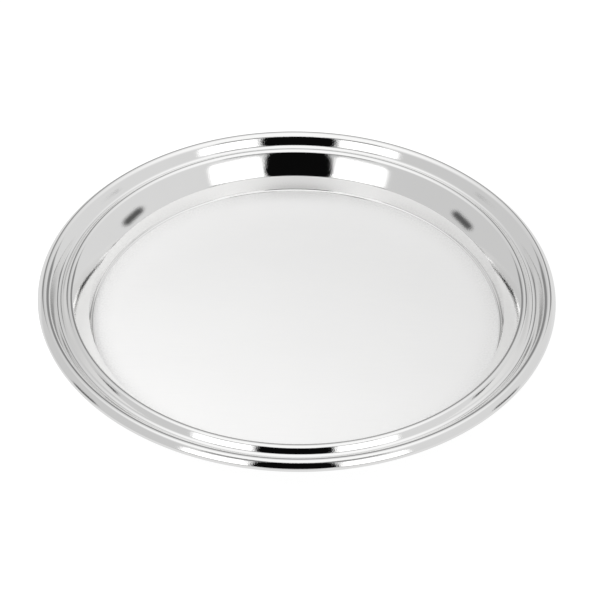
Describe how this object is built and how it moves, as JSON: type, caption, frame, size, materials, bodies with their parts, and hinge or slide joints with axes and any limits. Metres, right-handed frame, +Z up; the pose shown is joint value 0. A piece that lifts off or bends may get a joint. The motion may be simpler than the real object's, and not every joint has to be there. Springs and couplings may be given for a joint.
{
  "type": "round salver",
  "caption": "Round silver salver: flat satin serving floor, steep polished wall and sloping cove, and a polished border of two convex mouldings.",
  "frame": {"origin": "centre of the flat underside of the floor, where the salver rests", "axes": "+Z up along the salver's axis of revolution; +X along the grain of the brushed floor"},
  "size_m": [0.3, 0.3, 0.0267],
  "materials": {
    "satin_and_polished_silver": "satin-brushed floor with straight fine grain along X, polished wall and cove",
    "polished_silver": "hand-polished mirror",
    "brass_wire": "as drawn, hidden",
    "solder": "matt, as flowed"
  },
  "bodies": {
    "root": {"dish_body": "satin_and_polished_silver", "inner_bead_moulding": "polished_silver", "outer_bead_moulding": "polished_silver", "rim_core_wire": "brass_wire", "under_hem_strip": "polished_silver", "rim_solder_seam": "solder"}
  },
  "joints": []
}
